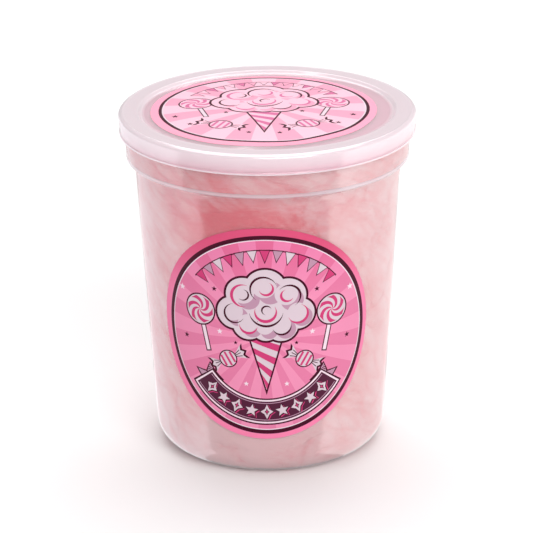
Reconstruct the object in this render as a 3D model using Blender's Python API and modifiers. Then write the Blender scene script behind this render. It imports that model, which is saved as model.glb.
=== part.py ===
"""A round snap-lid tub packed with pink spun sugar, with a round label on its wall and one on its lid.

The tub stands on the XY plane, centred on the Z axis. Its front, where the label is, faces -Y.
Sizes are in metres.
"""

import math

import bmesh
import bpy

# Driving dimensions of the tub: outer radii, heights above the base, and wall thickness
WALL = 0.0008
DRAFT = 0.0612  # growth of the wall's radius for each unit of height
BODY_TOP_R = 0.05305
LEDGE_Z = 0.1202  # where the body would meet the ledge, without the rounding between them
NECK_R = 0.0562
NECK_Z = 0.1214
NECK_ROUND = 0.0010  # rounding of the neck's lower edge
LEDGE_ROUND = 0.0014  # rounding between the ledge and the body
RIM_Z = 0.1382
RIM_BEAD = 0.0004  # how far the snap bead stands out of the neck
RIM_BEAD_H = 0.0012
BASE_CORNER_R = 0.0107

# Driving dimensions of the lid
LID_WALL = 0.0010
LID_R = 0.0590
LID_TOP_Z = 0.1395
LID_SKIRT_LOW_R = 0.0586
LID_SKIRT_Z = 0.1314
LID_HEM = 0.0002  # how far the hem stands out of the skirt
LID_HEM_H = 0.0008
LID_CORNER_R = 0.0015
LID_RING_R = 0.0510  # inner edge of the raised ring
LID_PANEL_R = 0.0500
LID_PANEL_Z = 0.1383
LID_CROWN = 0.0017

# Spun sugar, as packed into the tub
SUGAR_TOP_Z = 0.1362  # at its rounded edge
SUGAR_CROWN = 0.0014
SUGAR_EDGE_R = 0.0045
SUGAR_SHOULDER = 0.0035  # height over which it narrows from the neck to the body
DENT = 0.0013  # deepest dent in its surface
DENT_SIZE = 0.016

# Labels
LABEL_R = 0.0453
LABEL_Z = 0.0626
LABEL_TURN = math.radians(-2.4)  # towards -X
LID_LABEL_R = 0.0448
LID_LABEL_X = -0.0014
LID_LABEL_Y = -0.0006
LABEL_T = 0.0003

GAP = 0.0003  # between pieces that touch
STEPS = 60  # round the tub and lid
SUGAR_STEPS = 44
SIDE_STEPS = 6
ARC_STEPS = 5


def arc(centre_r, centre_z, radius, start_deg, end_deg, steps=ARC_STEPS):
    """Points of an arc in the profile plane, both ends included."""
    points = []
    for i in range(steps + 1):
        angle = math.radians(start_deg + (end_deg - start_deg) * i / steps)
        points.append((centre_r + radius * math.cos(angle), centre_z + radius * math.sin(angle)))
    return points


def body_r(z):
    """Outer radius of the tub's tapered body."""
    return BODY_TOP_R - DRAFT * (LEDGE_Z - z)


def neck_r(z):
    """Outer radius of the wider neck above the ledge."""
    return NECK_R + DRAFT * (z - NECK_Z)


def panel_z(r):
    """Top of the lid's crowned panel."""
    return LID_PANEL_Z + LID_CROWN * (1 - (r / LID_PANEL_R) ** 3)


def tub_profile():
    """The tub's outer side, from the rim down to the middle of the base."""
    bead_z = RIM_Z - RIM_BEAD_H
    bead_r = neck_r(RIM_Z) + RIM_BEAD
    corner_r = body_r(BASE_CORNER_R) - BASE_CORNER_R
    return [
        (bead_r, RIM_Z),
        (bead_r, bead_z),
        (neck_r(bead_z - RIM_BEAD), bead_z - RIM_BEAD),
        (neck_r(NECK_Z), NECK_Z),
        (NECK_R - NECK_ROUND * 0.3, NECK_Z - NECK_ROUND * 0.6),
        (NECK_R - NECK_ROUND, NECK_Z - NECK_ROUND),
        (BODY_TOP_R + LEDGE_ROUND * 0.4, LEDGE_Z - LEDGE_ROUND * 0.2),
        (body_r(LEDGE_Z - LEDGE_ROUND), LEDGE_Z - LEDGE_ROUND),
        *arc(corner_r, BASE_CORNER_R, BASE_CORNER_R, -math.degrees(math.atan(DRAFT)), -90),
        (0, 0),
    ]


def lid_profile():
    """The lid's upper and outer side, from the middle of its panel out and down to the hem."""
    rings = 5
    hem_z = LID_SKIRT_Z + LID_HEM_H
    return [
        *[(LID_PANEL_R * i / rings, panel_z(LID_PANEL_R * i / rings)) for i in range(rings + 1)],
        (LID_RING_R, LID_TOP_Z),
        *arc(LID_R - LID_CORNER_R, LID_TOP_Z - LID_CORNER_R, LID_CORNER_R, 90, 0, 4),
        (LID_SKIRT_LOW_R, hem_z + LID_HEM),
        (LID_SKIRT_LOW_R + LID_HEM, hem_z),
        (LID_SKIRT_LOW_R + LID_HEM, LID_SKIRT_Z),
    ]


def sugar_profile():
    """The packed sugar's outline, which follows the inside of the tub up to the lid."""
    inset = WALL + GAP
    flat_r = neck_r(SUGAR_TOP_Z) - inset - SUGAR_EDGE_R
    edge_z = SUGAR_TOP_Z - SUGAR_EDGE_R
    corner_r = body_r(BASE_CORNER_R) - BASE_CORNER_R
    rings = 4
    crown = [(flat_r * i / rings, SUGAR_TOP_Z + SUGAR_CROWN * (1 - (i / rings) ** 2)) for i in range(rings)]
    side = []
    for i in range(SIDE_STEPS + 1):
        z = LEDGE_Z + (BASE_CORNER_R - LEDGE_Z) * i / SIDE_STEPS
        side.append((body_r(z) - inset, z))
    corner = arc(corner_r, BASE_CORNER_R, BASE_CORNER_R - inset, -math.degrees(math.atan(DRAFT)), -90)
    return [
        *crown,
        *arc(flat_r, edge_z, SUGAR_EDGE_R, 90, 0, 3),
        (neck_r(NECK_Z) - inset - GAP, NECK_Z + SUGAR_SHOULDER),
        *side,
        *corner[1:],
        (0, inset),
    ]


def on_body(u, v):
    """Where a flat point (right, up) of the wall's label lies once it is rolled onto the tapered body."""
    half_angle = math.atan(DRAFT)
    apex_z = LABEL_Z - body_r(LABEL_Z) / DRAFT
    centre_slant = body_r(LABEL_Z) / math.sin(half_angle)
    slant = math.hypot(u, v + centre_slant)
    turn = math.atan2(u, v + centre_slant) / math.sin(half_angle) + LABEL_TURN
    r = slant * math.sin(half_angle) + GAP * math.cos(half_angle)
    z = apex_z + slant * math.cos(half_angle) - GAP * math.sin(half_angle)
    return r * math.sin(turn), -r * math.cos(turn), z


def on_lid(u, v):
    """Where a flat point of the lid's label lies on the crowned panel."""
    x, y = u + LID_LABEL_X, v + LID_LABEL_Y
    return x, y, panel_z(math.hypot(x, y)) + GAP


def material(name, colour, roughness, alpha=1.0):
    """A Principled material of one colour."""
    made = bpy.data.materials.new(name)
    made.use_nodes = True
    shader = made.node_tree.nodes["Principled BSDF"]
    shader.inputs["Base Color"].default_value = (*colour, 1)
    shader.inputs["Roughness"].default_value = roughness
    shader.inputs["Metallic"].default_value = 0
    shader.inputs["Alpha"].default_value = alpha
    return made


def add_object(name, mesh, collection, surface):
    """Put a mesh in the collection under its name, with its material."""
    mesh.materials.append(surface)
    ob = bpy.data.objects.new(name, mesh)
    collection.objects.link(ob)
    return ob


def turned(name, profile, collection, surface, steps=STEPS):
    """A profile in the XZ plane, turned once round Z by a Screw modifier."""
    mesh = bpy.data.meshes.new(name)
    edges = [(i, i + 1) for i in range(len(profile) - 1)]
    mesh.from_pydata([(r, 0, z) for r, z in profile], edges, [])
    ob = add_object(name, mesh, collection, surface)
    screw = ob.modifiers.new("Turn", "SCREW")
    screw.axis = "Z"
    screw.angle = 2 * math.pi
    screw.steps = steps
    screw.render_steps = steps
    screw.use_merge_vertices = True
    screw.merge_threshold = 0.00001
    screw.use_smooth_shade = True
    return ob


def thicken(ob, thickness, side):
    """Give an open surface its thickness, inwards (side -1) or outwards (side 1)."""
    shell = ob.modifiers.new("Wall", "SOLIDIFY")
    shell.thickness = thickness
    shell.offset = side
    shell.use_even_offset = True
    return ob


def add_tub(collection):
    """The thin-walled tub, open at the top, with its ledge, neck and snap bead."""
    surface = material("tub_plastic", (0.90, 0.78, 0.82), 0.35, 0.5)
    return thicken(turned("tub", tub_profile(), collection, surface), WALL, -1)


def add_lid(collection):
    """The snap-on lid: crowned panel, raised ring and skirt."""
    surface = material("lid_plastic", (0.88, 0.80, 0.84), 0.35, 0.6)
    return thicken(turned("lid", lid_profile(), collection, surface), LID_WALL, -1)


def add_sugar(collection):
    """The packed sugar, pressed against the wall, with shallow dents in its surface."""
    surface = material("spun_sugar", (0.86, 0.47, 0.52), 0.95)
    ob = turned("candy", sugar_profile(), collection, surface, SUGAR_STEPS)
    clouds = bpy.data.textures.new("candy_dents", "CLOUDS")
    clouds.noise_scale = DENT_SIZE
    clouds.noise_depth = 1
    dents = ob.modifiers.new("Dents", "DISPLACE")
    dents.texture = clouds
    dents.texture_coords = "LOCAL"
    dents.mid_level = 1
    dents.strength = DENT
    return ob


def add_label(name, radius, rings, place, collection, surface):
    """A round label: a flat disc bent to the place of each of its points, then thickened outwards."""
    bm = bmesh.new()
    line = [bm.verts.new((radius * i / rings, 0, 0)) for i in range(rings + 1)]
    edges = [bm.edges.new(pair) for pair in zip(line, line[1:])]
    bmesh.ops.spin(bm, geom=line + edges, cent=(0, 0, 0), axis=(0, 0, 1), angle=2 * math.pi, steps=40)
    bmesh.ops.remove_doubles(bm, verts=bm.verts, dist=0.00001)
    bmesh.ops.recalc_face_normals(bm, faces=bm.faces)
    if sum(face.normal.z for face in bm.faces) < 0:
        bmesh.ops.reverse_faces(bm, faces=bm.faces)
    for vert in bm.verts:
        vert.co = place(vert.co.x, vert.co.y)
    mesh = bpy.data.meshes.new(name)
    bm.to_mesh(mesh)
    bm.free()
    mesh.shade_smooth()
    return thicken(add_object(name, mesh, collection, surface), LABEL_T, 1)


def main():
    for ob in list(bpy.data.objects):
        bpy.data.objects.remove(ob, do_unlink=True)
    collection = bpy.data.collections.new("spun_sugar_tub")
    bpy.context.scene.collection.children.link(collection)
    paper = material("label_paper", (0.82, 0.22, 0.40), 0.4)
    add_tub(collection)
    add_lid(collection)
    add_sugar(collection)
    add_label("label_front", LABEL_R, 6, on_body, collection, paper)
    add_label("label_lid", LID_LABEL_R, 4, on_lid, collection, paper)


main()
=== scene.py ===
"""Looks of a snap-lid tub of pink spun sugar: milky tub and lid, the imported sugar, and two printed labels.

The frame holds the tub upright on the XY plane, centred on the Z axis, with its front facing -Y.
Sizes are in metres, apart from the labels' artwork, which is drawn flat in millimetres.
"""

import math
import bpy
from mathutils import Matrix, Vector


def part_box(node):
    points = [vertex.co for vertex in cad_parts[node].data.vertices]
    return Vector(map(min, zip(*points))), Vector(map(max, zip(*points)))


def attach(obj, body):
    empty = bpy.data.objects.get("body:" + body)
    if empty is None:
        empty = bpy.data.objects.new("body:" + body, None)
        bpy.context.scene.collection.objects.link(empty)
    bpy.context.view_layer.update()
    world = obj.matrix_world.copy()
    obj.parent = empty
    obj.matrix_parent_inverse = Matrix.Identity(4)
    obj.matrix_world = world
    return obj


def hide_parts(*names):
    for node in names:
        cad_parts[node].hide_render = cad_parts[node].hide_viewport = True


bl_info = {
    "name": "Spun Sugar Tub",
    "version": (1, 0, 0),
    "blender": (4, 5, 0),
    "location": "View3D > Sidebar > Sugar Tub",
    "description": "Builds the plastic, sugar and printed labels of a tub of spun sugar",
    "category": "Object",
}

import bpy
import numpy as np
from bpy.props import FloatProperty, FloatVectorProperty, IntProperty, PointerProperty
from bpy.types import Operator, Panel, PropertyGroup
from mathutils import Quaternion, Vector, noise
from mathutils.geometry import delaunay_2d_cdt

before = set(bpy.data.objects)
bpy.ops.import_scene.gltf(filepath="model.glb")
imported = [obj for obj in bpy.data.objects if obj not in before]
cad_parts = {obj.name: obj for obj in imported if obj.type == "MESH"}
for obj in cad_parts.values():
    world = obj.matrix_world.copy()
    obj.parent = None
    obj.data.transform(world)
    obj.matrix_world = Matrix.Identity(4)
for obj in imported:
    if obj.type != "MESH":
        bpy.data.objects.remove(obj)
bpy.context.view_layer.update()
TUB_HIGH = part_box("tub")[1]
LID_LOW, LID_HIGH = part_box("lid")
MM = 0.001

# Tub, as outer radii and heights
WALL = 0.0008
DRAFT = 0.0612
LEDGE_Z = 0.1202
BODY_TOP_R = 0.05305
NECK_R = 0.0562
NECK_Z = 0.1214
RIM_Z = TUB_HIGH[2]
RIM_R = TUB_HIGH[0]
RIM_BEAD_H = 0.0012
RIM_BEAD_SLOPE = 0.0005
NECK_ROUND = 0.0010
LEDGE_ROUND = 0.0009
BASE_CORNER_R = 0.0107

# Lid
LID_WALL = 0.0010
LID_R = LID_HIGH[0]
LID_TOP_Z = 0.1395
LID_SKIRT_Z = LID_LOW[2]
LID_SKIRT_LOW_R = 0.0586
LID_RING_R = 0.0512
LID_PANEL_R = 0.0500
LID_PANEL_Z = 0.1383
LID_CROWN = 0.0017
LID_HEM = 0.0002  # how far the hem stands out of the skirt
LID_HEM_H = 0.0008

# Spun sugar
SUGAR_TOP_Z = 0.1364  # at the foot of its crown
SUGAR_CROWN = 0.0014
SUGAR_CROWN_R = 0.052
SUGAR_TOP_R = 0.0566
SUGAR_EDGE_R = 0.0036
SUGAR_NECK_Z = 0.1310  # where its rounded edge meets its side
SUGAR_MEAN_R = 0.05

# Labels. Their radii and print shifts are in the artwork's millimetres.
LABEL_R = 45.3
LABEL_Z = 0.0626
LABEL_TURN = math.radians(-2.4)
LID_LABEL_R = 44.8
LID_LABEL_X = -0.0014
LID_LABEL_Y = -0.0006
LABEL_LIFT = 0.00003  # adhesive under the label
LABEL_T = 0.00010
PRINT_SHIFT = (0.55, -0.4)  # the print sits a little off the middle of its die-cut edge
LID_PRINT_SHIFT = (0.2, 0.5)
PAINTED_LIGHT_INKS = {"margin": "EE80A8", "ray_dark": "DC799F", "ray_light": "E68CAF"}  # paler below the front label's top, as painted light

# Camera
LENS_MM = 217.5
CAMERA_AIM = (-0.0010, 0, 0.0725)
CAMERA_ROLL = math.radians(-0.68)
ORBIT_Z = 0.067  # height of the point that the camera's distance and elevation are measured from


def srgb(code):
    """A hex colour such as "F4C6D0" as linear red, green and blue."""
    values = [int(code[i : i + 2], 16) / 255 for i in (0, 2, 4)]
    return tuple(v / 12.92 if v <= 0.04045 else ((v + 0.055) / 1.055) ** 2.4 for v in values)


def colour_property(name, description, code):
    """A colour a user can change, with its default as a hex colour."""
    return FloatVectorProperty(name=name, description=description, subtype="COLOR", size=3, min=0, max=1,
                               default=srgb(code))


class PlasticSettings(PropertyGroup):
    """Moulded tub and lid."""

    tint: colour_property("Tint", "Colour that the tub's milky plastic scatters", "EEEAF2")
    lid_tint: colour_property("Lid tint", "Colour that the lid's milky plastic scatters", "FDF8FC")
    dust: colour_property("Dust", "Colour of the sugar dust that clings inside the lid", "FFAECB")
    tub_haze: FloatProperty(name="Tub haze", description="Share of sight that a millimetre of tub wall hides",
                            default=0.27, min=0, max=1, subtype="FACTOR")
    lid_haze: FloatProperty(name="Lid haze", description="Share of sight that a millimetre of lid hides",
                            default=0.38, min=0, max=1, subtype="FACTOR")
    steps: IntProperty(name="Steps", description="Facets round the tub", default=240, min=24, max=720)


class SugarSettings(PropertyGroup):
    """Packed spun sugar."""

    pale: colour_property("Loose", "Colour of loose, airy sugar", "EABDBE")
    # The packed colour also serves as painted shade in the sugar's folds and creases.
    deep: colour_property("Packed", "Colour of sugar that is folded and pressed tight", "E0304A")
    crease: FloatProperty(name="Crease", description="Depth of the deepest folds", default=0.0006, min=0,
                          max=0.004, unit="LENGTH")
    fold: FloatProperty(name="Fold size", description="Usual width of a fold", default=0.017, min=0.005,
                        max=0.05, unit="LENGTH")


class PrintSettings(PropertyGroup):
    """Inks of both labels."""

    margin: colour_property("Margin", "Band round the front label", "D34D75")
    line: colour_property("Line", "Darkest ink", "43001F")
    keyline: colour_property("Keyline", "Lightest ink", "E9D3DE")
    ray_dark: colour_property("Dark ray", "Darker rays of the front label", "D96591")
    ray_light: colour_property("Light ray", "Lighter rays of the front label", "E17BA6")
    banner: colour_property("Banner", "Ground of the dark banner", "501A36")
    ribbon: colour_property("Ribbon", "Pale ribbon and sugar", "D2C0CA")
    shade: colour_property("Shade", "Shading of pale shapes", "B78CA3")
    accent: colour_property("Accent", "Bright shading", "C93A72")
    lid_margin: colour_property("Lid margin", "Band round the lid's label", "FFA8C2")
    lid_dark: colour_property("Lid dark ray", "Darker rays of the lid's label", "F3A6C0")
    lid_light: colour_property("Lid light ray", "Lighter rays of the lid's label", "FBC6D8")
    lid_accent: colour_property("Lid accent", "Bright shading of the lid's label", "DA719F")
    rays: IntProperty(name="Rays", description="Pairs of rays round the front label", default=18, min=6,
                      max=60)


class StageSettings(PropertyGroup):
    """Floor, light and camera."""

    floor: colour_property("Floor", "Colour of the floor", "F7F6F6")
    light: FloatProperty(name="Light", description="Power of the softboxes", default=1.0, min=0, max=5)
    distance: FloatProperty(name="Distance", description="Camera to the middle of the tub", default=1.3,
                            min=0.3, max=10, unit="LENGTH")
    elevation: FloatProperty(name="Elevation", description="Camera above the horizon", subtype="ANGLE",
                             default=math.radians(20.88))


def add_node(tree, kind, settings=None, inputs=None):
    """Add a node with its settings, and give each named input its value or the socket that feeds it."""
    made = tree.nodes.new(kind)
    for name, value in (settings or {}).items():
        setattr(made, name, value)
    for name, value in (inputs or {}).items():
        if isinstance(value, bpy.types.NodeSocket):
            tree.links.new(value, made.inputs[name])
        else:
            made.inputs[name].default_value = value
    return made


def new_material(name):
    """An empty node material, with its tree."""
    made = bpy.data.materials.new(name)
    made.use_nodes = True
    made.node_tree.nodes.clear()
    return made, made.node_tree


def finish_material(tree, shader):
    """Send a shader to the material's output."""
    add_node(tree, "ShaderNodeOutputMaterial", None, {"Surface": shader})


def moulded_polypropylene(name, haze, tint, onward=0.55, shine=True):
    """Injection-moulded natural polypropylene: milky, see-through and softly glossy.

    The haze grows with the millimetres of plastic that sight crosses, so bends, hems and edges look whiter.
    Where a piece adds far more millimetres than its plastic has, as at the tub's ledge, the whiter band is
    painted highlight.
    The onward share of the light that the haze catches goes on inwards, so what is inside tints it.
    """
    made, tree = new_material(name)
    facing = add_node(tree, "ShaderNodeLayerWeight", None, {"Blend": 0.5})
    # Millimetres of plastic that sight crosses, with painted highlight bands added where a piece sets more
    wall = add_node(tree, "ShaderNodeAttribute", {"attribute_name": "haze_mm"})
    # A glancing look crosses up to a third more plastic, as light bends towards the wall's depth.
    slant = add_node(tree, "ShaderNodeMapRange", None,
                     {"Value": facing.outputs["Facing"], "From Max": 0.7, "To Min": 1.0, "To Max": 1.35})
    path = add_node(tree, "ShaderNodeMath", {"operation": "MULTIPLY"},
                    {0: slant.outputs["Result"], 1: wall.outputs["Fac"]})
    clear = add_node(tree, "ShaderNodeMath", {"operation": "POWER"}, {0: 1 - haze, 1: path.outputs[0]})
    hidden = add_node(tree, "ShaderNodeMath", {"operation": "SUBTRACT"}, {0: 1.0, 1: clear.outputs[0]})
    through = add_node(tree, "ShaderNodeBsdfTransparent")
    milk = add_node(tree, "ShaderNodeBsdfPrincipled", None,
                    {"Base Color": (*tint, 1), "Roughness": 0.5, "IOR": 1.49, "Specular IOR Level": 0.0})
    glow = add_node(tree, "ShaderNodeBsdfTranslucent", None, {"Color": (*tint, 1)})
    milky = add_node(tree, "ShaderNodeMixShader", None, {0: onward, 1: milk.outputs[0], 2: glow.outputs[0]})
    body = add_node(tree, "ShaderNodeMixShader", None,
                    {0: hidden.outputs[0], 1: through.outputs[0], 2: milky.outputs[0]})
    if not shine:
        finish_material(tree, body.outputs[0])
        return made
    # A thin moulded wall is never quite true: long, faint waves bend what it mirrors.
    place = add_node(tree, "ShaderNodeTexCoord")
    ripple = add_node(tree, "ShaderNodeTexNoise", None,
                      {"Vector": place.outputs["Object"], "Scale": 1 / (22 * MM), "Detail": 0.5})
    bump = add_node(tree, "ShaderNodeBump", None,
                    {"Strength": 1.0, "Distance": 0.0014, "Height": ripple.outputs["Fac"]})
    # Both faces of the wall and the skin of the milk mirror, and far more so at a glancing angle.
    steep = add_node(tree, "ShaderNodeMath", {"operation": "POWER"}, {0: facing.outputs["Facing"], 1: 3.0})
    mirrored = add_node(tree, "ShaderNodeMapRange", None,
                        {"Value": steep.outputs[0], "To Min": 0.15, "To Max": 0.6})
    gloss = add_node(tree, "ShaderNodeBsdfAnisotropic", None,
                     {"Color": (1, 1, 1, 1), "Roughness": 0.14, "Normal": bump.outputs["Normal"]})
    shader = add_node(tree, "ShaderNodeMixShader", None,
                      {0: mirrored.outputs["Result"], 1: body.outputs[0], 2: gloss.outputs[0]})
    finish_material(tree, shader.outputs[0])
    return made


def spun_sugar(name, pale, deep):
    """Spun sugar, pulled to threads finer than hair: dull and fibrous, deeper pink where packed tight and, as
    painted shade, in folds and creases.
    """
    made, tree = new_material(name)
    packing_and_painted_light = add_node(tree, "ShaderNodeAttribute", {"attribute_name": "packing_and_painted_light"})
    place = add_node(tree, "ShaderNodeTexCoord")
    # Threads run round the tub, so the pattern is squeezed along its height.
    stretch = add_node(tree, "ShaderNodeMapping", None,
                       {"Vector": place.outputs["Object"], "Rotation": (0.35, 0.2, 0.0),
                        "Scale": (1.0, 1.0, 4.0)})
    threads = add_node(tree, "ShaderNodeTexNoise", None,
                       {"Vector": stretch.outputs["Vector"], "Scale": 1 / (3.5 * MM), "Detail": 6.0,
                        "Roughness": 0.65, "Distortion": 1.2})
    cloud = add_node(tree, "ShaderNodeTexNoise", None,
                     {"Vector": place.outputs["Object"], "Scale": 1 / (22 * MM), "Detail": 3.0,
                      "Roughness": 0.5, "Distortion": 0.6})
    # Where tufts are pushed together, sharp creases run between them, slanting down to the right; their
    # deeper pink is painted shade.
    slanted = add_node(tree, "ShaderNodeMapping", None,
                       {"Vector": place.outputs["Object"], "Rotation": (0.0, 0.75, 0.0),
                        "Scale": (0.75, 1.0, 1.0)})
    creased = add_node(tree, "ShaderNodeTexNoise", {"noise_type": "RIDGED_MULTIFRACTAL"},
                       {"Vector": slanted.outputs["Vector"], "Scale": 1 / (19 * MM), "Detail": 4.0,
                        "Roughness": 0.5, "Lacunarity": 2.2, "Offset": 0.9, "Gain": 1.6, "Distortion": 0.5})
    creases = add_node(tree, "ShaderNodeMapRange", None,
                       {"Value": creased.outputs["Fac"], "From Min": 0.85, "From Max": 1.6, "To Max": 0.30})
    fine = add_node(tree, "ShaderNodeMapRange", None,
                    {"Value": threads.outputs["Fac"], "From Min": 0.3, "From Max": 0.7, "To Min": -0.16,
                     "To Max": 0.16})
    broad = add_node(tree, "ShaderNodeMapRange", None,
                     {"Value": cloud.outputs["Fac"], "From Min": 0.35, "From Max": 0.65, "To Min": -0.12,
                      "To Max": 0.12})
    mottled = add_node(tree, "ShaderNodeMath", {"operation": "ADD"},
                       {0: fine.outputs["Result"], 1: broad.outputs["Result"]})
    uneven = add_node(tree, "ShaderNodeMath", {"operation": "ADD"},
                      {0: mottled.outputs[0], 1: creases.outputs["Result"]})
    # Packing, and painted shade in folds and creases, turn the sugar deeper pink.
    share = add_node(tree, "ShaderNodeMath", {"operation": "ADD", "use_clamp": True},
                     {0: packing_and_painted_light.outputs["Fac"], 1: uneven.outputs[0]})
    colour = add_node(tree, "ShaderNodeMix", {"data_type": "RGBA"},
                      {"Factor": share.outputs[0]})
    colour.inputs[6].default_value = (*pale, 1)
    colour.inputs[7].default_value = (*deep, 1)
    relief = add_node(tree, "ShaderNodeMath", {"operation": "MULTIPLY_ADD"},
                      {0: creases.outputs["Result"], 1: -6.0, 2: threads.outputs["Fac"]})
    bump = add_node(tree, "ShaderNodeBump", None,
                    {"Strength": 0.6, "Distance": 0.0008, "Height": relief.outputs[0]})
    shader = add_node(tree, "ShaderNodeBsdfPrincipled", None,
                      {"Base Color": colour.outputs[2], "Roughness": 0.9, "IOR": 1.3,
                       "Sheen Weight": 0.25, "Sheen Roughness": 0.5, "Normal": bump.outputs["Normal"]})
    finish_material(tree, shader.outputs[0])
    return made


def printed_label(name, ink, painted_light_colour=None):
    """Ink under the gloss film of a label: smooth, with the paper's faint grain.

    An ink with a second, paler colour runs from paler at the middle and below to full at the label's top; the
    paler part is painted light.
    """
    made, tree = new_material(name)
    place = add_node(tree, "ShaderNodeTexCoord")
    grain = add_node(tree, "ShaderNodeTexNoise", None,
                     {"Vector": place.outputs["Object"], "Scale": 1 / (0.8 * MM), "Detail": 3.0})
    bump = add_node(tree, "ShaderNodeBump", None,
                    {"Strength": 0.08, "Distance": 0.0001, "Height": grain.outputs["Fac"]})
    shader = add_node(tree, "ShaderNodeBsdfPrincipled", None,
                      {"Base Color": (*ink, 1), "Roughness": 0.45, "IOR": 1.45, "Specular IOR Level": 0.2,
                       "Normal": bump.outputs["Normal"]})
    if painted_light_colour:
        flat = add_node(tree, "ShaderNodeUVMap", {"uv_map": "flat"})
        split = add_node(tree, "ShaderNodeSeparateXYZ", None, {"Vector": flat.outputs["UV"]})
        height = add_node(tree, "ShaderNodeMapRange", {"interpolation_type": "SMOOTHSTEP"},
                          {"Value": split.outputs["Y"], "From Min": 0.60, "From Max": 0.95})
        blend = add_node(tree, "ShaderNodeMix", {"data_type": "RGBA"}, {"Factor": height.outputs["Result"]})
        blend.inputs[6].default_value = (*painted_light_colour, 1)
        blend.inputs[7].default_value = (*ink, 1)
        tree.links.new(blend.outputs[2], shader.inputs["Base Color"])
    finish_material(tree, shader.outputs[0])
    return made


def painted_floor(name, colour):
    """A studio's smooth painted floor: pale and matt, with a faint unevenness."""
    made, tree = new_material(name)
    place = add_node(tree, "ShaderNodeTexCoord")
    cloud = add_node(tree, "ShaderNodeTexNoise", None, {"Vector": place.outputs["Object"], "Scale": 3.0})
    shade = add_node(tree, "ShaderNodeMapRange", None, {"Value": cloud.outputs["Fac"], "To Min": 0.75,
                                                        "To Max": 0.85})
    shader = add_node(tree, "ShaderNodeBsdfPrincipled", None,
                      {"Base Color": (*colour, 1), "Roughness": shade.outputs["Result"]})
    finish_material(tree, shader.outputs[0])
    return made


def body_r(z):
    """Outer radius of the tub's tapered body."""
    return BODY_TOP_R - DRAFT * (LEDGE_Z - z)


def neck_r(z):
    """Outer radius of the wider neck above the ledge."""
    return NECK_R + DRAFT * (z - NECK_Z)


def base_corner(inset, count):
    """Points down the rounding between body and base, at an inset from the tub's outside."""
    middle_r = body_r(BASE_CORNER_R) - BASE_CORNER_R
    radius = BASE_CORNER_R - inset
    angles = np.linspace(-math.atan(DRAFT), -math.pi / 2, count)
    return [Vector((middle_r + radius * math.cos(a), BASE_CORNER_R + radius * math.sin(a))) for a in angles]


def crown_z(r):
    """Top of the lid's crowned panel, before its waves."""
    return LID_PANEL_Z + LID_CROWN * (1 - (r / LID_PANEL_R) ** 3)


def panel_z(x, y):
    """Top of the lid's panel, with the slight waves that a thin moulded disc takes as it cools."""
    r = math.hypot(x, y)
    wave = noise.noise(Vector((x, y, 0)) / 0.018) * 0.0003 * min(1.0, max(0.0, (LID_PANEL_R - r) / 0.006))
    return crown_z(r) + wave


def rounded(corners, steps=6):
    """Points of a path of (r, z, fillet) corners, each inner corner rounded to its fillet."""
    points = [Vector(corners[0][:2])]
    for before, corner, after in zip(corners, corners[1:], corners[2:]):
        here = Vector(corner[:2])
        back = Vector(before[:2]) - here
        on = Vector(after[:2]) - here
        turn = math.pi - back.angle(on)
        reach = corner[2] * math.tan(turn / 2)
        if corner[2] <= 0 or turn < 0.01:
            points.append(here)
            continue
        start = here + back.normalized() * reach
        end = here + on.normalized() * reach
        for i in range(steps + 1):
            t = i / steps
            # A quadratic curve through the corner's tangents, close to an arc at these small turns
            points.append(start * (1 - t) ** 2 + here * (2 * t * (1 - t)) + end * t * t)
    points.append(Vector(corners[-1][:2]))
    return points


def applied(ob):
    """Bake an object's modifiers into its mesh, and mark the edges of its corners as sharp."""
    bpy.context.view_layer.update()
    before = ob.data
    ob_now = ob.evaluated_get(bpy.context.evaluated_depsgraph_get())
    ob.data = bpy.data.meshes.new_from_object(ob_now)
    ob.modifiers.clear()
    bpy.data.meshes.remove(before)
    ob.data.set_sharp_from_angle(angle=math.radians(50))
    return ob


def turned(name, profile, steps, materials, wall=0.0):
    """A profile turned round Z as a new object; with a wall, thickened inwards."""
    line = bpy.data.meshes.new(name)
    line.from_pydata([(p.x, 0, p.y) for p in profile], [(i, i + 1) for i in range(len(profile) - 1)], [])
    ob = bpy.data.objects.new(name, line)
    bpy.context.scene.collection.objects.link(ob)
    screw = ob.modifiers.new("Turn", "SCREW")
    screw.steps = steps
    screw.render_steps = steps
    screw.use_merge_vertices = True
    screw.merge_threshold = 0.000005
    screw.use_smooth_shade = True
    if wall:
        shell = ob.modifiers.new("Wall", "SOLIDIFY")
        shell.thickness = wall
        shell.offset = -1
        shell.use_even_offset = True
        shell.material_offset = 1
        shell.material_offset_rim = 0
    for made in materials:
        ob.data.materials.append(made)
    return applied(ob)


def point_array(mesh):
    """A mesh's points as an array."""
    points = np.empty(len(mesh.vertices) * 3)
    mesh.vertices.foreach_get("co", points)
    return points.reshape(-1, 3)


def set_values(mesh, name, values):
    """Store one number for each point, which the material reads by name."""
    mesh.attributes.new(name, "FLOAT", "POINT").data.foreach_set("value", np.asarray(values, np.float32))


def stand_for(ob, node):
    """Make a piece stand for its CAD node and fix it to the body."""
    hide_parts(node)
    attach(ob, "root")


def near(values, centre, reach):
    """1 where values are at the centre, falling smoothly to 0 at the reach."""
    return np.clip(1 - np.abs(values - centre) / reach, 0, 1) ** 2


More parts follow.
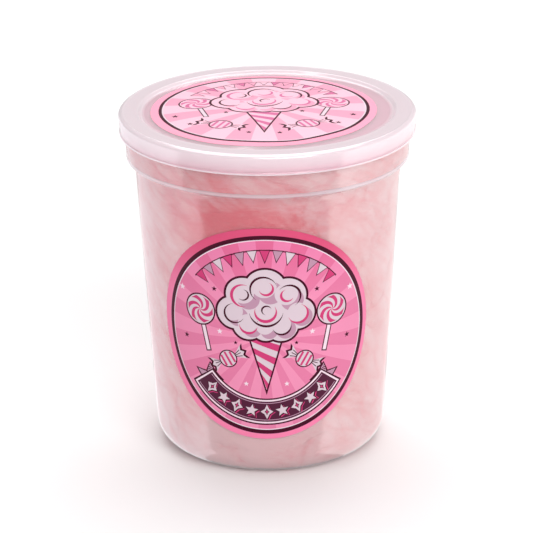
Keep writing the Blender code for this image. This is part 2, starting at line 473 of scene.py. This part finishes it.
class SUGARTUB_OT_tub(Operator):
    """Build the milky tub with its ledge, neck and snap bead"""

    bl_idname = "sugar_tub.tub"
    bl_label = "Tub"

    def execute(self, context):
        settings = context.scene.tub_plastic
        bead_z = RIM_Z - RIM_BEAD_H
        under_bead_z = bead_z - RIM_BEAD_SLOPE
        low_neck_z = NECK_Z + 0.0016
        high_body_z = LEDGE_Z - 0.0030
        side = rounded([
            (RIM_R, RIM_Z, 0),
            (RIM_R, bead_z, 0.0003),
            (neck_r(under_bead_z), under_bead_z, 0.0003),
            (neck_r(low_neck_z), low_neck_z, 0),
            (neck_r(NECK_Z), NECK_Z - 0.0003, NECK_ROUND),
            (BODY_TOP_R + 0.0006, LEDGE_Z - 0.0002, LEDGE_ROUND),
            (body_r(high_body_z), high_body_z, 0),
        ])
        materials = [
            moulded_polypropylene("tub_polypropylene", settings.tub_haze, settings.tint),
            moulded_polypropylene("tub_inner_face", 0.04, settings.tint, shine=False),
        ]
        profile = [*side, *base_corner(0, 17), Vector((0, 0))]
        ob = turned("tub_shell", profile, settings.steps, materials, WALL)
        heights = point_array(ob.data)[:, 2]
        # Sight across the rim's edge and the ledge's two bends crosses more plastic than the flat wall; the
        # ledge's two bright bands are mostly painted highlight, far whiter than that plastic makes them.
        haze_path_mm = WALL / MM + 12 * near(heights, NECK_Z + 0.0004, 0.0006)
        haze_path_mm += 10 * near(heights, NECK_Z - 0.0007, 0.0004)
        haze_path_mm += 1.2 * near(heights, RIM_Z, 0.002)
        set_values(ob.data, "haze_mm", haze_path_mm)
        stand_for(ob, "tub")
        return {"FINISHED"}


class SUGARTUB_OT_lid(Operator):
    """Build the snap-on lid with its crowned panel, raised ring, skirt and hem"""

    bl_idname = "sugar_tub.lid"
    bl_label = "Lid"

    def execute(self, context):
        settings = context.scene.tub_plastic
        hem_z = LID_SKIRT_Z + LID_HEM_H
        hem_r = LID_SKIRT_LOW_R + LID_HEM
        crown = [(r, crown_z(r), 0) for r in np.linspace(0, LID_PANEL_R - 0.0015, 40)]
        # The ring's top is a very shallow trough between two low ridges.
        profile = rounded([
            *crown,
            (LID_PANEL_R, LID_PANEL_Z, 0.0010),
            (LID_RING_R, LID_TOP_Z, 0.0008),
            (LID_RING_R + 0.0016, LID_TOP_Z - 0.0001, 0.0004),
            (LID_R - 0.0024, LID_TOP_Z - 0.00015, 0.0006),
            (LID_R - 0.0016, LID_TOP_Z, 0.0008),
            (LID_R, LID_TOP_Z - 0.0010, 0.0012),
            (LID_SKIRT_LOW_R, hem_z + LID_HEM, 0.0001),
            (hem_r, hem_z, 0.0002),
            (hem_r, LID_SKIRT_Z, 0),
        ])
        materials = [
            moulded_polypropylene("lid_polypropylene", settings.lid_haze, settings.lid_tint, 0.3),
            moulded_polypropylene("lid_sugar_dusted_face", 0.8, settings.dust, 0.1, shine=False),
        ]
        ob = turned("lid_shell", profile, settings.steps, materials, LID_WALL)
        points = point_array(ob.data)
        radii = np.hypot(points[:, 0], points[:, 1])
        for vert, r in zip(ob.data.vertices, radii):
            if r < LID_PANEL_R:
                vert.co.z += panel_z(vert.co.x, vert.co.y) - crown_z(r)
        # Sight through the ring and the upper skirt also crosses the tub's rim, and bends scatter more.
        upper = np.clip((points[:, 2] - LID_SKIRT_Z - 0.0005) / (LID_TOP_Z - LID_SKIRT_Z - 0.002), 0, 1)
        haze_path_mm = 1.2 + np.clip((radii - 0.0492) / 0.001, 0, 1) * (4.0 * upper**1.6 - 0.2)
        haze_path_mm += 2.0 * near(radii, LID_RING_R - 0.0005, 0.0014)
        haze_path_mm += 5.0 * near(points[:, 2], LID_SKIRT_Z, 0.0009)
        set_values(ob.data, "haze_mm", haze_path_mm)
        stand_for(ob, "lid")
        return {"FINISHED"}


# Where the sugar is packed harder, or, below 0, paler as painted light: turn from the front in degrees,
# height, half width, half height and strength
PACKING_AND_PAINTED_LIGHT_SPOTS = (
    (-17, 0.102, 0.024, 0.012, 0.64),
    (-2, 0.105, 0.024, 0.010, 0.56),
    (-24, 0.126, 0.022, 0.008, 0.30),
    # Painted light: paler on the right, where more light and its reflection fall
    (32, 0.115, 0.027, 0.030, -0.26),
    # Painted light: paler just under the lid's skirt, against the lid's shade
    (0, 0.129, 0.040, 0.007, -0.22),
    # Painted light: paler low on the right, where more light falls
    (40, 0.075, 0.022, 0.040, -0.16),
    # Painted light: paler low at the front, standing for light bounced off the floor
    (0, 0.012, 0.040, 0.014, -0.50),
    (150, 0.080, 0.024, 0.022, 0.35),
    (95, 0.050, 0.018, 0.020, 0.25),
    (-110, 0.095, 0.020, 0.014, 0.35),
)


def swirl(place):
    """A smooth shove that varies with the place, which is given in swirl widths."""
    return Vector([noise.noise(place + Vector((shift, 0, 0))) for shift in (0.0, 37.3, 71.9)])


def drawn_out(place, pitch):
    """Where a place lies among folds that are drawn out along a slant round the tub, in fold widths."""
    turn = math.atan2(place.x, -place.y) + place.z / 0.045
    radius = math.hypot(place.x, place.y)
    drawn = Vector((radius * math.sin(turn), -radius * math.cos(turn), place.z * 0.6))
    return drawn / pitch + swirl(place / 0.024) * 0.55


def tufts(place, pitch):
    """How far a place is from the middle of its tuft, and how near it is to the crease round that tuft."""
    nearest, second = noise.voronoi(drawn_out(place, pitch))[0][:2]
    return nearest, (1 - min(1.0, (second - nearest) / 0.35)) ** 2


def fold_depth(place, fold):
    """How deep the sugar's surface lies at a place, from 0 to 1, by its swells, tufts and creases."""
    broad = 0.5 + 0.6 * noise.noise(drawn_out(place, fold))
    dome, crease = tufts(place, fold * 0.55)
    small_dome, small_crease = tufts(place, fold * 0.24)
    depth = 0.34 * broad + 0.16 * dome + 0.28 * crease + 0.06 * small_dome + 0.10 * small_crease
    return min(1.0, max(0.0, depth))


class SUGARTUB_OT_sugar(Operator):
    """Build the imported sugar, pressed against the wall and folded in on itself"""

    bl_idname = "sugar_tub.sugar"
    bl_label = "Sugar"

    def execute(self, context):
        settings = context.scene.tub_sugar
        reach = WALL * 0.2  # its skin lies inside the wall, so no air gap shows
        crown = [Vector((r, SUGAR_TOP_Z + SUGAR_CROWN * (1 - (r / SUGAR_CROWN_R) ** 2)))
                 for r in np.linspace(0, LID_PANEL_R, 56)]
        edge = rounded([(LID_PANEL_R + 0.0005, SUGAR_TOP_Z - 0.0001, 0),
                        (SUGAR_TOP_R, SUGAR_TOP_Z - 0.0002, SUGAR_EDGE_R),
                        (neck_r(SUGAR_NECK_Z) - reach, SUGAR_NECK_Z, 0)], 10)[1:]
        neck = [Vector((neck_r(z) - reach, z))
                for z in np.linspace(SUGAR_NECK_Z - 0.0004, NECK_Z + 0.0026, 8)]
        bend = rounded([(neck[-1].x, NECK_Z + 0.0022, 0), (neck_r(NECK_Z) - reach, NECK_Z + 0.0006, 0.0012),
                        (body_r(LEDGE_Z) - reach, LEDGE_Z - 0.0006, 0.0012),
                        (body_r(LEDGE_Z - 0.0022) - reach, LEDGE_Z - 0.0022, 0)], 5)
        side = [Vector((body_r(z) - reach, z))
                for z in np.linspace(LEDGE_Z - 0.0032, BASE_CORNER_R + 0.001, 112)]
        corner = base_corner(reach, 14)
        base = [Vector((r, reach)) for r in np.linspace(corner[-1].x - 0.002, 0, 14)]
        floss = spun_sugar("spun_sugar_floss", settings.pale, settings.deep)
        profile = [*crown, *edge, *neck, *bend, *side, *corner, *base]
        ob = turned("sugar_floss", profile, 330, [floss])
        points = point_array(ob.data)
        normals = np.empty(len(points) * 3)
        ob.data.vertices.foreach_get("normal", normals)
        folds = np.array([fold_depth(Vector(p), settings.fold) for p in points])
        turn = np.degrees(np.arctan2(points[:, 0], -points[:, 1]))
        # Deeper folds are deeper pink: painted shade, which the shallow folds can't cast. The sugar is paler
        # towards the bottom.
        packing_and_painted_light = 0.16 + 0.72 * folds - 0.22 * np.clip((0.050 - points[:, 2]) / 0.04, 0, 1)
        for azimuth, height, half_width, half_height, strength in PACKING_AND_PAINTED_LIGHT_SPOTS:
            across = np.radians((turn - azimuth + 180) % 360 - 180) * SUGAR_MEAN_R / half_width
            along = (points[:, 2] - height) / half_height
            packing_and_painted_light += strength * np.exp(-(across**2 + along**2))
        points -= normals.reshape(-1, 3) * (folds * settings.crease)[:, None]
        ob.data.vertices.foreach_set("co", points.ravel())
        set_values(ob.data, "packing_and_painted_light", np.clip(packing_and_painted_light, 0, 1))
        stand_for(ob, "candy")
        return {"FINISHED"}


# Artwork: a shape is an ink's name and a closed outline in millimetres, and lies over the shapes before it.


def arc_points(radius, start, end, count, x=0.0, y=0.0):
    """Points along an arc, by its angles in degrees, both ends included."""
    angles = np.radians(np.linspace(start, end, count))
    return [(x + radius * math.cos(a), y + radius * math.sin(a)) for a in angles]


def disc(radius, x=0.0, y=0.0, count=72):
    """A circle's outline."""
    return arc_points(radius, 0, 360, count + 1, x, y)[:-1]


def star(outer, inner, x, y, tips=5, turn=90):
    """A star's outline."""
    points = []
    for i in range(tips * 2):
        radius = inner if i % 2 else outer
        points += arc_points(radius, turn + 180 * i / tips, turn + 180 * i / tips, 1, x, y)
    return points


def stroke(line, width, taper=False):
    """A line's outline: the line with a width, or with pointed ends."""
    points = [Vector(p) for p in line]
    left, right = [], []
    for i, here in enumerate(points):
        along = points[min(i + 1, len(points) - 1)] - points[max(i - 1, 0)]
        out = Vector((-along.y, along.x)).normalized() * width / 2
        if taper:
            out *= max(0.08, math.sin(math.pi * i / (len(points) - 1)))
        left.append(tuple(here + out))
        right.append(tuple(here - out))
    return left + right[::-1]


def rays(ink, radius, pairs, turn=0.0):
    """Every second ray of a sunburst."""
    step = 180 / pairs
    shapes = []
    for i in range(pairs):
        start = turn + i * 2 * step
        shapes.append((ink, [(0, 0), *arc_points(radius, start, start + step, 5)]))
    return shapes


def border(radius, margin, ring, keyline, field):
    """Nested discs that leave a margin, a dark ring and a thin keyline round the field."""
    line_r = radius - margin
    key_r = line_r - ring
    field_r = key_r - keyline
    shapes = [("margin", disc(radius, count=180)), ("line", disc(line_r, count=180)),
              ("keyline", disc(key_r, count=180)), (field, disc(field_r, count=180))]
    return shapes, field_r


def moved(outline, x, y, turn=0.0, size=1.0):
    """An outline turned by degrees, scaled and moved."""
    c, s = math.cos(math.radians(turn)) * size, math.sin(math.radians(turn)) * size
    return [(x + px * c - py * s, y + px * s + py * c) for px, py in outline]


def placed(shapes, x, y, turn=0.0, size=1.0):
    """Shapes turned by degrees, scaled and moved together."""
    return [(ink, moved(outline, x, y, turn, size)) for ink, outline in shapes]


def arched(outline, radius, middle):
    """An outline drawn along a straight band, bent onto an arch that crosses the middle line at a height.

    Below a radius of 0 the arch hangs, with its ends up.
    """
    points = []
    for p in in_short_steps(outline, 1.5):
        angle = p.x / radius
        points.append(((radius + p.y) * math.sin(angle), middle - radius + (radius + p.y) * math.cos(angle)))
    return points


def box(x0, y0, x1, y1):
    """A rectangle's outline."""
    return [(x0, y0), (x1, y0), (x1, y1), (x0, y1)]


def swirl_lollipop(x, y, radius, lean):
    """A round swirl lollipop on its stick."""
    stick = box(-0.7, -radius - 11, 0.7, -radius + 1)
    shapes = [("line", moved(box(-1.15, -radius - 11.5, 1.15, -radius + 1), x, y, lean)),
              ("keyline", moved(stick, x, y, lean)),
              ("line", disc(radius + 0.6, x, y)), ("ribbon", disc(radius, x, y))]
    for i in range(6):
        near_edge, far_edge = [], []
        for step in range(13):
            r = (radius - 0.35) * step / 12
            turn = lean + 60 * i + 95 * step / 12
            near_edge += arc_points(r, turn, turn, 1, x, y)
            far_edge += arc_points(r, turn + 30, turn + 30, 1, x, y)
        shapes.append(("accent", near_edge + far_edge[:0:-1]))
    return shapes


def puff_on_cone():
    """A puff of spun sugar on a striped paper cone."""
    width, height, top = 6.4, 23.0, -4.0
    shapes = [("line", [(-width - 0.9, top + 1.0), (width + 0.9, top + 1.0), (0, top - height - 1.9)]),
              ("ribbon", [(-width, top), (width, top), (0, top - height)])]
    for i in range(5):
        start = i * 0.2 - 0.06
        band = []
        for u, v in ((-1, start), (1, start + 0.16), (1, start + 0.26), (-1, start + 0.10)):
            v = min(0.99, max(0.0, v))
            band.append((u * width * (1 - v), top - v * height))
        shapes.append(("accent", band))
    lobes = [(0, 9.5, 6.6), (-7.0, 7.0, 6.0), (7.2, 6.6, 6.2), (-10.5, 0.4, 5.6), (10.8, 0.0, 5.4),
             (-5.6, -3.6, 5.2), (5.2, -4.0, 5.4), (0, -4.6, 4.6), (0, 2.0, 8.5)]
    shapes += [("line", disc(r + 0.75, px, py, 48)) for px, py, r in lobes]
    shapes += [("ribbon", disc(r, px, py, 48)) for px, py, r in lobes]
    shapes += [("shade", disc(r * 0.62, px + r * 0.25, py - r * 0.24, 36)) for px, py, r in lobes[:8]]
    shapes += [("ribbon", disc(r * 0.62, px - r * 0.06, py + r * 0.10, 36)) for px, py, r in lobes[:8]]
    for px, py, r, start, end, ink, width in (
        (-0.5, 9.0, 4.4, 20, 235, "line", 0.75), (0.2, 9.4, 2.3, 200, 420, "accent", 0.9),
        (-7.2, 6.6, 3.9, 70, 280, "accent", 1.0), (-7.4, 7.0, 1.9, 230, 440, "line", 0.6),
        (7.6, 6.4, 3.9, -60, 140, "line", 0.75), (7.2, 6.8, 2.1, 110, 330, "accent", 0.9),
        (-10.2, 0.2, 3.4, 100, 330, "line", 0.7), (10.6, 0.0, 3.3, 200, 430, "accent", 0.9),
        (0.2, 1.6, 5.6, 190, 350, "line", 0.8), (0.0, 1.2, 3.5, 160, 390, "accent", 1.1),
        (0.4, 1.6, 1.6, 20, 250, "line", 0.6), (-5.6, -3.6, 3.0, 180, 345, "accent", 0.9),
        (5.2, -4.0, 3.1, 200, 370, "line", 0.7)):
        shapes.append((ink, stroke(arc_points(r, start, end, 19, px, py), width, taper=True)))
    return shapes


def bunting(radius, start, end, flags):
    """Small flags hung from a string along an arc."""
    shapes = [("line", stroke(arc_points(radius, start, end, 49), 0.55))]
    step = (end - start) / flags
    for i in range(flags):
        angle = start + (i + 0.5) * step
        half = math.radians(step * 0.36) * radius
        at = arc_points(radius, angle, angle, 1)[0]
        tip = -5.0 + 0.5 * (i % 2)
        edge = [(-half - 0.4, 0.3), (half + 0.4, 0.3), (0, tip - 0.8)]
        flag = [(-half, -0.1), (half, -0.1), (0, tip)]
        shapes.append(("line", moved(edge, *at, angle - 90)))
        shapes.append((("accent", "ribbon", "shade")[i % 3], moved(flag, *at, angle - 90)))
    return shapes


def diamond(half_width, half_height, x=0.0, y=0.0):
    """A diamond with sides that curve in."""
    waist = 0.36
    points = []
    for sx, sy in ((1, 1), (-1, 1), (-1, -1), (1, -1)):
        corner = [(sx * half_width, 0), (sx * half_width * waist, sy * half_height * waist),
                  (0, sy * half_height)]
        if sx * sy < 0:
            corner.reverse()
        points += corner[:-1]
    return [(x + px, y + py) for px, py in points]


def banner(half_length, half_height, radius, middle):
    """The dark curved banner with its row of diamonds and stars, and its tails behind."""
    shapes = []
    tail_low, tail_high = 3.8 - half_height, half_height + 1.4
    for side in (-1, 1):
        tail = [(side * (half_length - 7), tail_low), (side * (half_length + 4.6), tail_low),
                (side * (half_length + 1.6), (tail_low + tail_high) / 2),
                (side * (half_length + 4.6), tail_high), (side * (half_length - 7), tail_high)]
        inner = [(px - side * 0.9 if abs(px) > half_length else px, py * 0.84 + 0.4) for px, py in tail]
        shapes += [("line", arched(tail, radius, middle)), ("shade", arched(inner, radius, middle))]
        for i in range(4):
            x = side * (half_length + 0.6 + 0.8 * i)
            line = [(x, tail_high - 1.0), (x, tail_high - 3.6 + 0.7 * i)]
            shapes.append(("line", arched(stroke(line, 0.35), radius, middle)))
    for ink, grow in (("line", 0.8), ("keyline", 0.15), ("banner", -0.55)):
        shapes.append((ink, arched(box(-half_length - grow, -half_height - grow, half_length + grow,
                                       half_height + grow), radius, middle)))
    for y in (1.35 - half_height, half_height - 1.35):
        shapes.append(("shade", arched(stroke([(1.2 - half_length, y), (half_length - 1.2, y)], 0.3),
                                       radius, middle)))
    count = 9
    pitch = (2 * half_length - 5.0) / count
    for i in range(count):
        x = (i - (count - 1) / 2) * pitch
        for ink, dx, grow in (("accent", 0.7, 0.15), ("line", 0.35, 0.2), ("ribbon", 0.0, 0.0)):
            if i % 2:
                shape = star(2.7 + grow, 1.2 + grow, x + dx, -dx)
            else:
                shape = diamond(2.5 + grow, half_height - 1.8 + grow, x + dx, -dx * 0.6)
            shapes.append((ink, arched(shape, radius, middle)))
        if i % 2 == 0:
            shapes.append(("line", arched(diamond(1.0, 1.6, x, 0), radius, middle)))
            shapes.append(("accent", arched(diamond(0.5, 0.9, x, 0), radius, middle)))
    return shapes


def wrapped_sweet(lean):
    """A round striped sweet, 1 in radius, in a twisted wrapper."""
    shapes = []
    for side in (-1, 1):
        fan = [(side * 0.8, 0), (side * 2.2, 0.95), (side * 1.95, 0.35), (side * 2.3, 0),
               (side * 1.95, -0.35), (side * 2.2, -0.95)]
        shapes += [("line", moved(fan, 0, 0, 0, 1.15)), ("ribbon", fan)]
        for rise in (-0.4, 0.05, 0.45):
            shapes.append(("line", stroke([(side * 1.0, rise * 0.3), (side * 1.85, rise)], 0.1)))
    shapes += [("line", disc(1.15)), ("ribbon", disc(1.0))]
    for x in (-0.6, 0, 0.6):
        reach = math.sqrt(0.9 - x * x)
        shapes.append(("accent", stroke([(x, -reach), (x, reach)], 0.27)))
    return placed(shapes, 0, 0, lean)


# Small stars, one on each side: ink, radius of the tips and of the notches, place across and up
FRONT_STARS = (("keyline", 1.5, 0.62, 35.5, 16.0), ("line", 1.2, 0.5, 20.5, 18.5),
               ("keyline", 1.3, 0.55, 18.5, 0.5), ("line", 0.9, 0.4, 12.0, -3.5),
               ("line", 1.3, 0.55, 34.0, -4.5), ("keyline", 1.1, 0.5, 8.0, -21.0))
LID_STARS = (("line", 1.6, 0.7, 35.0, -9.0), ("line", 1.3, 0.6, 15.0, -6.0),
             ("line", 1.4, 0.6, 29.0, -19.0), ("line", 1.3, 0.6, 6.0, -31.0))


def front_art(pairs):
    """The front label: a puff of spun sugar on a striped cone, with sweets, bunting and a hanging banner."""
    shapes, field_r = border(LABEL_R, 2.6, 1.75, 0.4, "ray_light")
    shapes += rays("ray_dark", field_r, pairs, 90 - 90 / pairs)
    shapes += bunting(36.5, 38, 142, 13)
    for side in (-1, 1):
        shapes += swirl_lollipop(side * 27, 8.5, 6.2, -side * 12)
        shapes += placed(wrapped_sweet(-side * 30), side * 15.2, -10.8, 0, 3.3)
        shapes += [(ink, star(tip, notch, side * x, y)) for ink, tip, notch, x, y in FRONT_STARS]
    shapes += placed(puff_on_cone(), 0, 9, 0, 1.2)
    shapes += banner(30.0, 5.0, -33.0, -33.0)
    return [shapes[0], *placed(shapes[1:], *PRINT_SHIFT)]


def lid_art():
    """The lid's label: the same puff on its cone in pale pinks, between lollipops and sweets."""
    shapes, field_r = border(LID_LABEL_R, 3.0, 1.3, 0.5, "lid_light")
    shapes += rays("lid_dark", field_r, 12, 7.5)
    shapes += bunting(34.0, 30, 150, 15)
    for side in (-1, 1):
        shapes += swirl_lollipop(side * 27, 6, 6.5, -side * 14)
        shapes += placed(wrapped_sweet(side * 25), side * 17, -21, 0, 4.2)
        shapes += [(ink, star(tip, notch, side * x, y)) for ink, tip, notch, x, y in LID_STARS]
    shapes += placed(puff_on_cone(), 0, 6, 0, 1.3)
    inks = {"margin": "lid_margin", "ribbon": "lid_light", "shade": "lid_dark", "accent": "lid_accent"}
    shapes = [(inks.get(ink, ink), outline) for ink, outline in shapes]
    return [shapes[0], *placed(shapes[1:], *LID_PRINT_SHIFT)]


def in_short_steps(outline, step):
    """A closed outline with extra points along its long edges, so that it can bend with the label."""
    points = []
    for start, end in zip(outline, [*outline[1:], outline[0]]):
        start, end = Vector(start), Vector(end)
        count = max(1, math.ceil((end - start).length / step))
        points += [start.lerp(end, i / count) for i in range(count)]
    return points


def signed_area(outline):
    """The area inside an outline, below 0 if it runs clockwise."""
    return sum(a.cross(b) for a, b in zip(outline, [*outline[1:], outline[0]])) / 2


def flat_print(name, shapes, radius, place, material_of):
    """A label: the shapes cut into triangles, each in its topmost ink, and put where place says."""
    spacing = 2.2
    points, faces = [], []
    for _, outline in shapes:
        outline = in_short_steps(outline, spacing)
        if signed_area(outline) < 0:  # outlines have to run anticlockwise
            outline.reverse()
        faces.append(list(range(len(points), len(points) + len(outline))))
        points += outline
    count = int(radius / spacing)
    for i in range(-count, count + 1):
        for j in range(-count, count + 1):
            at = Vector(((i + 0.5 * (j % 2)) * spacing, j * spacing * 0.87))
            if at.length < radius - spacing * 0.5:
                points.append(at)
    corners, _, triangles, _, _, sources = delaunay_2d_cdt(points, [], faces, 0, 0.002)
    inks = sorted({ink for ink, _ in shapes})
    kept, colours = [], []
    for triangle, source in zip(triangles, sources):
        if source:
            kept.append(triangle)
            colours.append(inks.index(shapes[max(source)][0]))
    mesh = bpy.data.meshes.new(name)
    mesh.from_pydata([place(p.x * MM, p.y * MM) for p in corners], [], kept)
    mesh.polygons.foreach_set("material_index", colours)
    flat = mesh.uv_layers.new(name="flat")
    loops = np.empty(len(mesh.loops), np.int32)
    mesh.loops.foreach_get("vertex_index", loops)
    uv = np.array([(0.5 + p.x / radius / 2, 0.5 + p.y / radius / 2) for p in corners])[loops]
    flat.data.foreach_set("uv", uv.ravel())
    mesh.shade_smooth()
    ob = bpy.data.objects.new(name, mesh)
    bpy.context.scene.collection.objects.link(ob)
    paper = ob.modifiers.new("Paper", "SOLIDIFY")
    paper.thickness = LABEL_T
    paper.offset = 1
    for ink in inks:
        mesh.materials.append(material_of(ink))
    return applied(ob)


def on_body(u, v):
    """Where a flat point (right, up) of the front label lies once it is rolled onto the tapered body."""
    half_angle = math.atan(DRAFT)
    apex_z = LABEL_Z - body_r(LABEL_Z) / DRAFT
    slant_to_centre = body_r(LABEL_Z) / math.sin(half_angle)
    slant = math.hypot(u, v + slant_to_centre)
    turn = math.atan2(u, v + slant_to_centre) / math.sin(half_angle) + LABEL_TURN
    r = slant * math.sin(half_angle) + LABEL_LIFT
    return r * math.sin(turn), -r * math.cos(turn), apex_z + slant * math.cos(half_angle)


def on_lid(u, v):
    """Where a flat point of the lid's label lies on the crowned panel."""
    x, y = u + LID_LABEL_X, v + LID_LABEL_Y
    return x, y, panel_z(x, y) + LABEL_LIFT


class SUGARTUB_OT_front_label(Operator):
    """Print the front label and roll it onto the tub"""

    bl_idname = "sugar_tub.front_label"
    bl_label = "Front label"

    def execute(self, context):
        inks = context.scene.tub_print

        def printed(ink):
            # Some inks grow paler towards the label's middle and foot: painted light.
            painted_light_colour = srgb(PAINTED_LIGHT_INKS[ink]) if ink in PAINTED_LIGHT_INKS else None
            return printed_label(f"printed_{ink}", getattr(inks, ink), painted_light_colour)

        ob = flat_print("front_label_print", front_art(inks.rays), LABEL_R, on_body, printed)
        stand_for(ob, "label_front")
        return {"FINISHED"}


class SUGARTUB_OT_lid_label(Operator):
    """Print the lid's label and lay it on the panel"""

    bl_idname = "sugar_tub.lid_label"
    bl_label = "Lid label"

    def execute(self, context):
        inks = context.scene.tub_print

        def printed(ink):
            return printed_label(f"printed_lid_{ink}", getattr(inks, ink))

        ob = flat_print("lid_label_print", lid_art(), LID_LABEL_R, on_lid, printed)
        stand_for(ob, "label_lid")
        return {"FINISHED"}


def softbox(name, azimuth, height, distance, width, tall, power, colour):
    """A rectangular studio light at a turn from the front (degrees, to the right), aimed at the tub."""
    data = bpy.data.lights.new(name, "AREA")
    data.shape = "RECTANGLE"
    data.size = width
    data.size_y = tall
    data.energy = power
    data.color = colour
    ob = bpy.data.objects.new(name, data)
    bpy.context.scene.collection.objects.link(ob)
    turn = math.radians(azimuth)
    ob.location = (distance * math.sin(turn), -distance * math.cos(turn), height)
    aim = Vector((0, 0, 0.07)) - ob.location
    ob.rotation_mode = "QUATERNION"
    ob.rotation_quaternion = aim.to_track_quat("-Z", "Y")
    return ob


class SUGARTUB_OT_stage(Operator):
    """Set the pale floor, the soft studio light and the camera"""

    bl_idname = "sugar_tub.stage"
    bl_label = "Stage"

    def execute(self, context):
        settings = context.scene.tub_stage
        bpy.ops.mesh.primitive_plane_add(size=40)
        floor = context.active_object
        floor.name = "floor"
        floor.data.materials.append(painted_floor("painted_studio_floor", settings.floor))
        floor.visible_glossy = False
        world = bpy.data.worlds.new("studio")
        context.scene.world = world
        world.use_nodes = True
        sky = world.node_tree.nodes["Background"]
        sky.inputs["Color"].default_value = (1, 1, 1, 1)
        sky.inputs["Strength"].default_value = 0.4
        light = settings.light
        softbox("left_softbox", -114, -0.2, 0.62, 1.3, 1.0, 4.0 * light, (0.94, 0.95, 1.0))
        softbox("right_softbox", 110, -0.15, 0.62, 1.4, 1.1, 4.5 * light, (1.0, 0.975, 0.955))
        softbox("front_softbox", 15, 0.75, 1.0, 0.8, 0.8, 8.7 * light, (1.0, 0.99, 0.98))
        softbox("overhead", 180, 1.25, 0.5, 1.4, 1.4, 11.3 * light, (1, 1, 1))
        backdrop = softbox("backdrop", 180, 0.05, 1.2, 2.1, 1.6, 9.5 * light, (0.99, 0.98, 1.0))
        backdrop.visible_glossy = False
        # Below the floor's level only the wall's glancing mirror finds this one, and it whitens the outline.
        softbox("edge_strip", 180, -0.38, 1.2, 0.8, 0.6, 1.1 * light, (1, 1, 1))
        lens = bpy.data.cameras.new("camera")
        lens.lens = LENS_MM
        lens.sensor_width = 36
        lens.clip_start = 0.05
        camera = bpy.data.objects.new("camera", lens)
        context.scene.collection.objects.link(camera)
        up = settings.elevation
        middle = Vector((0, 0, ORBIT_Z))
        camera.location = middle + settings.distance * Vector((0, -math.cos(up), math.sin(up)))
        forward = Vector(CAMERA_AIM) - camera.location
        camera.rotation_mode = "QUATERNION"
        roll = Quaternion((0, 0, 1), CAMERA_ROLL)
        camera.rotation_quaternion = forward.to_track_quat("-Z", "Y") @ roll
        context.scene.camera = camera
        context.scene.view_settings.view_transform = "Standard"
        return {"FINISHED"}


class SUGARTUB_PT_panel(Panel):
    """The tub's pieces in the 3D view's sidebar"""

    bl_label = "Sugar Tub"
    bl_idname = "SUGARTUB_PT_panel"
    bl_space_type = "VIEW_3D"
    bl_region_type = "UI"
    bl_category = "Sugar Tub"

    def draw(self, context):
        for operator in OPERATORS:
            self.layout.operator(operator.bl_idname)


OPERATORS = (SUGARTUB_OT_tub, SUGARTUB_OT_lid, SUGARTUB_OT_sugar, SUGARTUB_OT_front_label,
             SUGARTUB_OT_lid_label, SUGARTUB_OT_stage)
SETTINGS = {"tub_plastic": PlasticSettings, "tub_sugar": SugarSettings, "tub_print": PrintSettings,
            "tub_stage": StageSettings}


def register():
    for name, group in SETTINGS.items():
        bpy.utils.register_class(group)
        setattr(bpy.types.Scene, name, PointerProperty(type=group))
    for made in (*OPERATORS, SUGARTUB_PT_panel):
        bpy.utils.register_class(made)


def unregister():
    for made in (SUGARTUB_PT_panel, *reversed(OPERATORS)):
        bpy.utils.unregister_class(made)
    for name, group in reversed(SETTINGS.items()):
        delattr(bpy.types.Scene, name)
        bpy.utils.unregister_class(group)


def main():
    register()
    for build in (bpy.ops.sugar_tub.stage, bpy.ops.sugar_tub.tub, bpy.ops.sugar_tub.lid,
                  bpy.ops.sugar_tub.sugar, bpy.ops.sugar_tub.front_label, bpy.ops.sugar_tub.lid_label):
        build()


if __name__ == "__main__":
    main()
